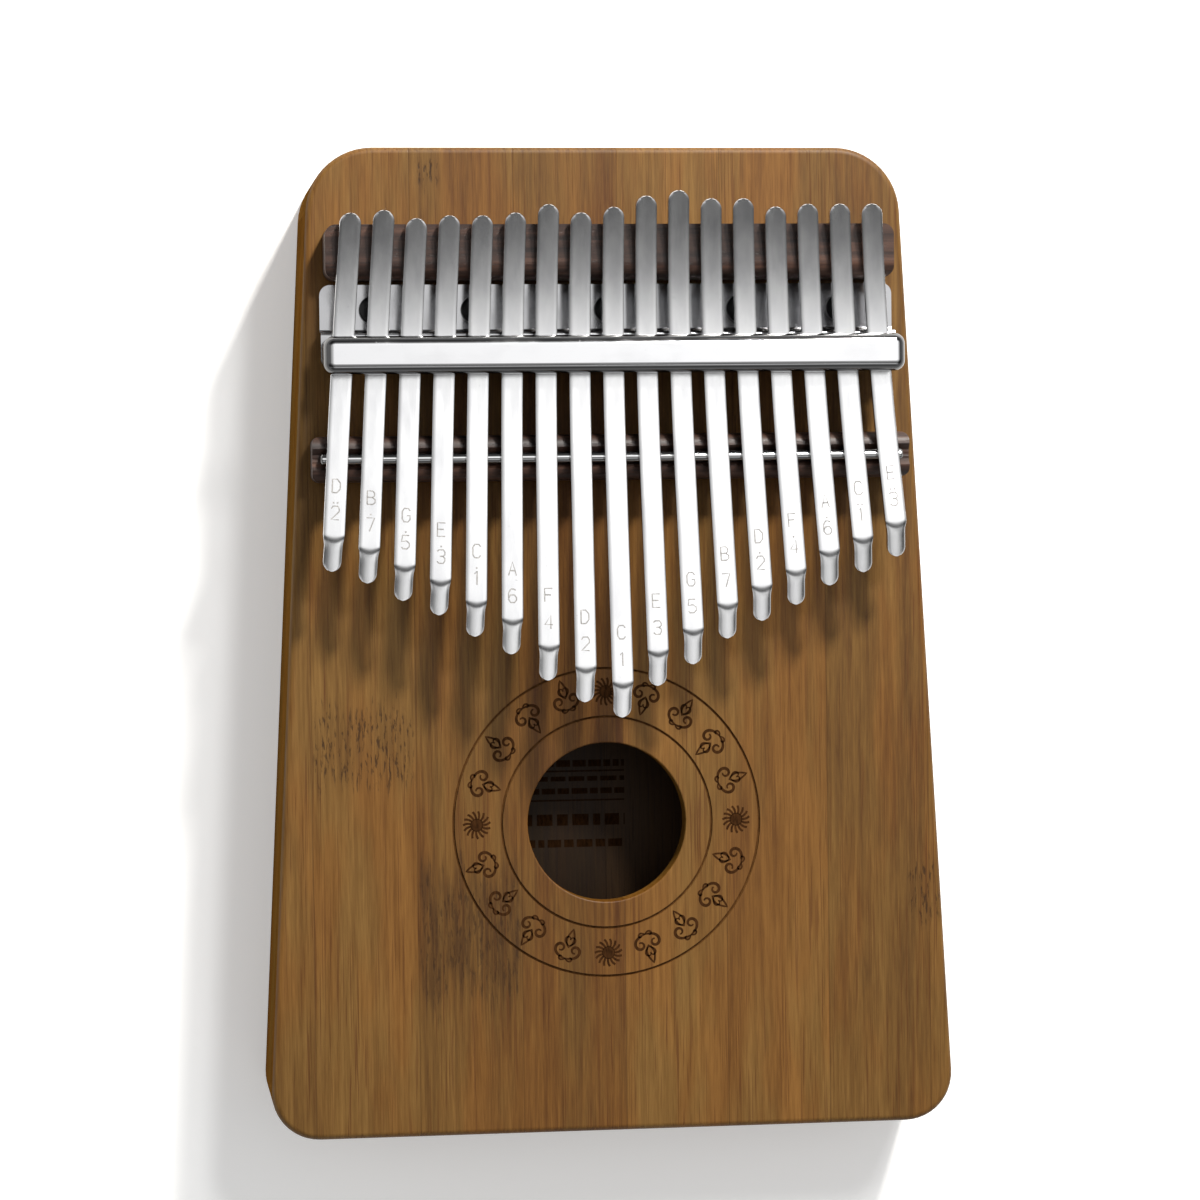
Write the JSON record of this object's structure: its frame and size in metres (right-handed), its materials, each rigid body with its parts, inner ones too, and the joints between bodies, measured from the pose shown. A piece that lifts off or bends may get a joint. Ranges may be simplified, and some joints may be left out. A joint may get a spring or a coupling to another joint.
{
  "type": "mbira thumb piano",
  "caption": "Thumb piano: a tapered wooden sound box with a round sound hole and sprung steel tines held by a pressure bar over a bridge.",
  "frame": {"origin": "middle of the back face that the instrument lies on, under the middle of its outline", "axes": "+Z out of the playing face, +Y towards the backrest end, +X to the right as seen from the playing face with the backrest end up; the tines point to -Y"},
  "size_m": [0.1294, 0.185, 0.0458],
  "materials": {
    "top_board": "carbonised bamboo, satin oil finish, fine straight grain",
    "back_board": "carbonised bamboo, satin oil finish",
    "head_block": "bamboo end block, end grain, satin",
    "tail_block": "bamboo end block, end grain, satin",
    "left_wall": "bamboo side wall, satin",
    "right_wall": "bamboo side wall, satin",
    "anchor_block": "raw sawn hardwood block, inside the box",
    "backrest": "dark rosewood, low sheen, open pores",
    "bridge": "dark rosewood, low sheen, open pores",
    "saddle_wire": "drawn steel wire",
    "bracket": "polished chrome plate with fine wipe marks",
    "pressure_bar": "polished chrome bar",
    "bracket_screws": "black oxide cross-head pan screws",
    "bar_screws": "zinc plated small machine screws",
    "tine_01": "bright nickel plated spring steel, fine lengthwise polish lines",
    "tine_01_free": "bright nickel plated spring steel, fine lengthwise polish lines",
    "tine_02": "bright nickel plated spring steel, fine lengthwise polish lines",
    "tine_02_free": "bright nickel plated spring steel, fine lengthwise polish lines",
    "tine_03": "bright nickel plated spring steel, fine lengthwise polish lines",
    "tine_03_free": "bright nickel plated spring steel, fine lengthwise polish lines",
    "tine_04": "bright nickel plated spring steel, fine lengthwise polish lines",
    "tine_04_free": "bright nickel plated spring steel, fine lengthwise polish lines",
    "tine_05": "bright nickel plated spring steel, fine lengthwise polish lines",
    "tine_05_free": "bright nickel plated spring steel, fine lengthwise polish lines",
    "tine_06": "bright nickel plated spring steel, fine lengthwise polish lines",
    "tine_06_free": "bright nickel plated spring steel, fine lengthwise polish lines",
    "tine_07": "bright nickel plated spring steel, fine lengthwise polish lines",
    "tine_07_free": "bright nickel plated spring steel, fine lengthwise polish lines",
    "tine_08": "bright nickel plated spring steel, fine lengthwise polish lines",
    "tine_08_free": "bright nickel plated spring steel, fine lengthwise polish lines",
    "tine_09": "bright nickel plated spring steel, fine lengthwise polish lines",
    "tine_09_free": "bright nickel plated spring steel, fine lengthwise polish lines",
    "tine_10": "bright nickel plated spring steel, fine lengthwise polish lines",
    "tine_10_free": "bright nickel plated spring steel, fine lengthwise polish lines",
    "tine_11": "bright nickel plated spring steel, fine lengthwise polish lines",
    "tine_11_free": "bright nickel plated spring steel, fine lengthwise polish lines",
    "tine_12": "bright nickel plated spring steel, fine lengthwise polish lines",
    "tine_12_free": "bright nickel plated spring steel, fine lengthwise polish lines",
    "tine_13": "bright nickel plated spring steel, fine lengthwise polish lines",
    "tine_13_free": "bright nickel plated spring steel, fine lengthwise polish lines",
    "tine_14": "bright nickel plated spring steel, fine lengthwise polish lines",
    "tine_14_free": "bright nickel plated spring steel, fine lengthwise polish lines",
    "tine_15": "bright nickel plated spring steel, fine lengthwise polish lines",
    "tine_15_free": "bright nickel plated spring steel, fine lengthwise polish lines",
    "tine_16": "bright nickel plated spring steel, fine lengthwise polish lines",
    "tine_16_free": "bright nickel plated spring steel, fine lengthwise polish lines",
    "tine_17": "bright nickel plated spring steel, fine lengthwise polish lines",
    "tine_17_free": "bright nickel plated spring steel, fine lengthwise polish lines"
  },
  "bodies": {
    "body": {"top_board": "top_board", "back_board": "back_board", "head_block": "head_block", "tail_block": "tail_block", "left_wall": "left_wall", "right_wall": "right_wall", "anchor_block": "anchor_block", "backrest": "backrest", "bridge": "bridge", "saddle_wire": "saddle_wire", "bracket": "bracket", "pressure_bar": "pressure_bar", "bracket_screws": "bracket_screws", "bar_screws": "bar_screws"},
    "tine_01": {"tine_01": "tine_01"},
    "tine_01_free": {"tine_01_free": "tine_01_free"},
    "tine_02": {"tine_02": "tine_02"},
    "tine_02_free": {"tine_02_free": "tine_02_free"},
    "tine_03": {"tine_03": "tine_03"},
    "tine_03_free": {"tine_03_free": "tine_03_free"},
    "tine_04": {"tine_04": "tine_04"},
    "tine_04_free": {"tine_04_free": "tine_04_free"},
    "tine_05": {"tine_05": "tine_05"},
    "tine_05_free": {"tine_05_free": "tine_05_free"},
    "tine_06": {"tine_06": "tine_06"},
    "tine_06_free": {"tine_06_free": "tine_06_free"},
    "tine_07": {"tine_07": "tine_07"},
    "tine_07_free": {"tine_07_free": "tine_07_free"},
    "tine_08": {"tine_08": "tine_08"},
    "tine_08_free": {"tine_08_free": "tine_08_free"},
    "tine_09": {"tine_09": "tine_09"},
    "tine_09_free": {"tine_09_free": "tine_09_free"},
    "tine_10": {"tine_10": "tine_10"},
    "tine_10_free": {"tine_10_free": "tine_10_free"},
    "tine_11": {"tine_11": "tine_11"},
    "tine_11_free": {"tine_11_free": "tine_11_free"},
    "tine_12": {"tine_12": "tine_12"},
    "tine_12_free": {"tine_12_free": "tine_12_free"},
    "tine_13": {"tine_13": "tine_13"},
    "tine_13_free": {"tine_13_free": "tine_13_free"},
    "tine_14": {"tine_14": "tine_14"},
    "tine_14_free": {"tine_14_free": "tine_14_free"},
    "tine_15": {"tine_15": "tine_15"},
    "tine_15_free": {"tine_15_free": "tine_15_free"},
    "tine_16": {"tine_16": "tine_16"},
    "tine_16_free": {"tine_16_free": "tine_16_free"},
    "tine_17": {"tine_17": "tine_17"},
    "tine_17_free": {"tine_17_free": "tine_17_free"}
  },
  "joints": [
    {"name": "tine_01_tune", "type": "hinge", "parent": "body", "child": "tine_01", "pos_m": [-0.05025, 0.05326, 0.16467], "axis": [0.9977, -0.0674, 0], "range_deg": [-0.68, 0.68]},
    {"name": "tine_01_pluck", "type": "hinge", "parent": "tine_01", "child": "tine_01_free", "pos_m": [-0.05165, 0.03247, 0.03937], "axis": [0.9977, -0.0674, 0], "range_deg": [-2, 4], "stiffness_Nm_per_rad": 6.35},
    {"name": "tine_02_tune", "type": "hinge", "parent": "body", "child": "tine_02", "pos_m": [-0.04396, 0.05327, 0.16467], "axis": [0.9983, -0.059, 0], "range_deg": [-0.68, 0.68]},
    {"name": "tine_02_pluck", "type": "hinge", "parent": "tine_02", "child": "tine_02_free", "pos_m": [-0.04519, 0.03247, 0.03937], "axis": [0.9983, -0.059, 0], "range_deg": [-2, 4], "stiffness_Nm_per_rad": 5.72},
    {"name": "tine_03_tune", "type": "hinge", "parent": "body", "child": "tine_03", "pos_m": [-0.03768, 0.05328, 0.16467], "axis": [0.9987, -0.0506, 0], "range_deg": [-0.68, 0.68]},
    {"name": "tine_03_pluck", "type": "hinge", "parent": "tine_03", "child": "tine_03_free", "pos_m": [-0.03874, 0.03247, 0.03937], "axis": [0.9987, -0.0506, 0], "range_deg": [-2, 4], "stiffness_Nm_per_rad": 5},
    {"name": "tine_04_tune", "type": "hinge", "parent": "body", "child": "tine_04", "pos_m": [-0.0314, 0.05328, 0.16467], "axis": [0.9991, -0.0422, 0], "range_deg": [-0.68, 0.68]},
    {"name": "tine_04_pluck", "type": "hinge", "parent": "tine_04", "child": "tine_04_free", "pos_m": [-0.03228, 0.03247, 0.03937], "axis": [0.9991, -0.0422, 0], "range_deg": [-2, 4], "stiffness_Nm_per_rad": 4.53},
    {"name": "tine_05_tune", "type": "hinge", "parent": "body", "child": "tine_05", "pos_m": [-0.02512, 0.05329, 0.16467], "axis": [0.9994, -0.0337, 0], "range_deg": [-0.68, 0.68]},
    {"name": "tine_05_pluck", "type": "hinge", "parent": "tine_05", "child": "tine_05_free", "pos_m": [-0.02583, 0.03246, 0.03937], "axis": [0.9994, -0.0337, 0], "range_deg": [-2, 4], "stiffness_Nm_per_rad": 3.97},
    {"name": "tine_06_tune", "type": "hinge", "parent": "body", "child": "tine_06", "pos_m": [-0.01884, 0.05329, 0.16467], "axis": [0.9997, -0.0253, 0], "range_deg": [-0.68, 0.68]},
    {"name": "tine_06_pluck", "type": "hinge", "parent": "tine_06", "child": "tine_06_free", "pos_m": [-0.01937, 0.03246, 0.03937], "axis": [0.9997, -0.0253, 0], "range_deg": [-2, 4], "stiffness_Nm_per_rad": 3.6},
    {"name": "tine_07_tune", "type": "hinge", "parent": "body", "child": "tine_07", "pos_m": [-0.01256, 0.0533, 0.16467], "axis": [0.9999, -0.0169, 0], "range_deg": [-0.68, 0.68]},
    {"name": "tine_07_pluck", "type": "hinge", "parent": "tine_07", "child": "tine_07_free", "pos_m": [-0.01291, 0.03246, 0.03937], "axis": [0.9999, -0.0169, 0], "range_deg": [-2, 4], "stiffness_Nm_per_rad": 3.17},
    {"name": "tine_08_tune", "type": "hinge", "parent": "body", "child": "tine_08", "pos_m": [-0.00628, 0.0533, 0.16467], "axis": [1, -0.0084, 0], "range_deg": [-0.68, 0.68]},
    {"name": "tine_08_pluck", "type": "hinge", "parent": "tine_08", "child": "tine_08_free", "pos_m": [-0.00646, 0.03246, 0.03937], "axis": [1, -0.0084, 0], "range_deg": [-2, 4], "stiffness_Nm_per_rad": 2.88},
    {"name": "tine_09_tune", "type": "hinge", "parent": "body", "child": "tine_09", "pos_m": [0, 0.0533, 0.16467], "axis": [1, 0, 0], "range_deg": [-0.68, 0.68]},
    {"name": "tine_09_pluck", "type": "hinge", "parent": "tine_09", "child": "tine_09_free", "pos_m": [0, 0.03246, 0.03937], "axis": [1, 0, 0], "range_deg": [-2, 4], "stiffness_Nm_per_rad": 2.71},
    {"name": "tine_10_tune", "type": "hinge", "parent": "body", "child": "tine_10", "pos_m": [0.00628, 0.0533, 0.16467], "axis": [1, 0.0084, 0], "range_deg": [-0.68, 0.68]},
    {"name": "tine_10_pluck", "type": "hinge", "parent": "tine_10", "child": "tine_10_free", "pos_m": [0.00646, 0.03246, 0.03937], "axis": [1, 0.0084, 0], "range_deg": [-2, 4], "stiffness_Nm_per_rad": 3.07},
    {"name": "tine_11_tune", "type": "hinge", "parent": "body", "child": "tine_11", "pos_m": [0.01256, 0.0533, 0.16467], "axis": [0.9999, 0.0169, 0], "range_deg": [-0.68, 0.68]},
    {"name": "tine_11_pluck", "type": "hinge", "parent": "tine_11", "child": "tine_11_free", "pos_m": [0.01291, 0.03246, 0.03937], "axis": [0.9999, 0.0169, 0], "range_deg": [-2, 4], "stiffness_Nm_per_rad": 3.38},
    {"name": "tine_12_tune", "type": "hinge", "parent": "body", "child": "tine_12", "pos_m": [0.01884, 0.05329, 0.16467], "axis": [0.9997, 0.0253, 0], "range_deg": [-0.68, 0.68]},
    {"name": "tine_12_pluck", "type": "hinge", "parent": "tine_12", "child": "tine_12_free", "pos_m": [0.01937, 0.03246, 0.03937], "axis": [0.9997, 0.0253, 0], "range_deg": [-2, 4], "stiffness_Nm_per_rad": 3.84},
    {"name": "tine_13_tune", "type": "hinge", "parent": "body", "child": "tine_13", "pos_m": [0.02512, 0.05329, 0.16467], "axis": [0.9994, 0.0337, 0], "range_deg": [-0.68, 0.68]},
    {"name": "tine_13_pluck", "type": "hinge", "parent": "tine_13", "child": "tine_13_free", "pos_m": [0.02583, 0.03246, 0.03937], "axis": [0.9994, 0.0337, 0], "range_deg": [-2, 4], "stiffness_Nm_per_rad": 4.24},
    {"name": "tine_14_tune", "type": "hinge", "parent": "body", "child": "tine_14", "pos_m": [0.0314, 0.05328, 0.16467], "axis": [0.9991, 0.0422, 0], "range_deg": [-0.68, 0.68]},
    {"name": "tine_14_pluck", "type": "hinge", "parent": "tine_14", "child": "tine_14_free", "pos_m": [0.03228, 0.03247, 0.03937], "axis": [0.9991, 0.0422, 0], "range_deg": [-2, 4], "stiffness_Nm_per_rad": 4.68},
    {"name": "tine_15_tune", "type": "hinge", "parent": "body", "child": "tine_15", "pos_m": [0.03768, 0.05328, 0.16467], "axis": [0.9987, 0.0506, 0], "range_deg": [-0.68, 0.68]},
    {"name": "tine_15_pluck", "type": "hinge", "parent": "tine_15", "child": "tine_15_free", "pos_m": [0.03874, 0.03247, 0.03937], "axis": [0.9987, 0.0506, 0], "range_deg": [-2, 4], "stiffness_Nm_per_rad": 5.35},
    {"name": "tine_16_tune", "type": "hinge", "parent": "body", "child": "tine_16", "pos_m": [0.04396, 0.05327, 0.16467], "axis": [0.9983, 0.059, 0], "range_deg": [-0.68, 0.68]},
    {"name": "tine_16_pluck", "type": "hinge", "parent": "tine_16", "child": "tine_16_free", "pos_m": [0.04519, 0.03247, 0.03937], "axis": [0.9983, 0.059, 0], "range_deg": [-2, 4], "stiffness_Nm_per_rad": 5.92},
    {"name": "tine_17_tune", "type": "hinge", "parent": "body", "child": "tine_17", "pos_m": [0.05025, 0.05326, 0.16467], "axis": [0.9977, 0.0674, 0], "range_deg": [-0.68, 0.68]},
    {"name": "tine_17_pluck", "type": "hinge", "parent": "tine_17", "child": "tine_17_free", "pos_m": [0.05165, 0.03247, 0.03937], "axis": [0.9977, 0.0674, 0], "range_deg": [-2, 4], "stiffness_Nm_per_rad": 6.8}
  ]
}
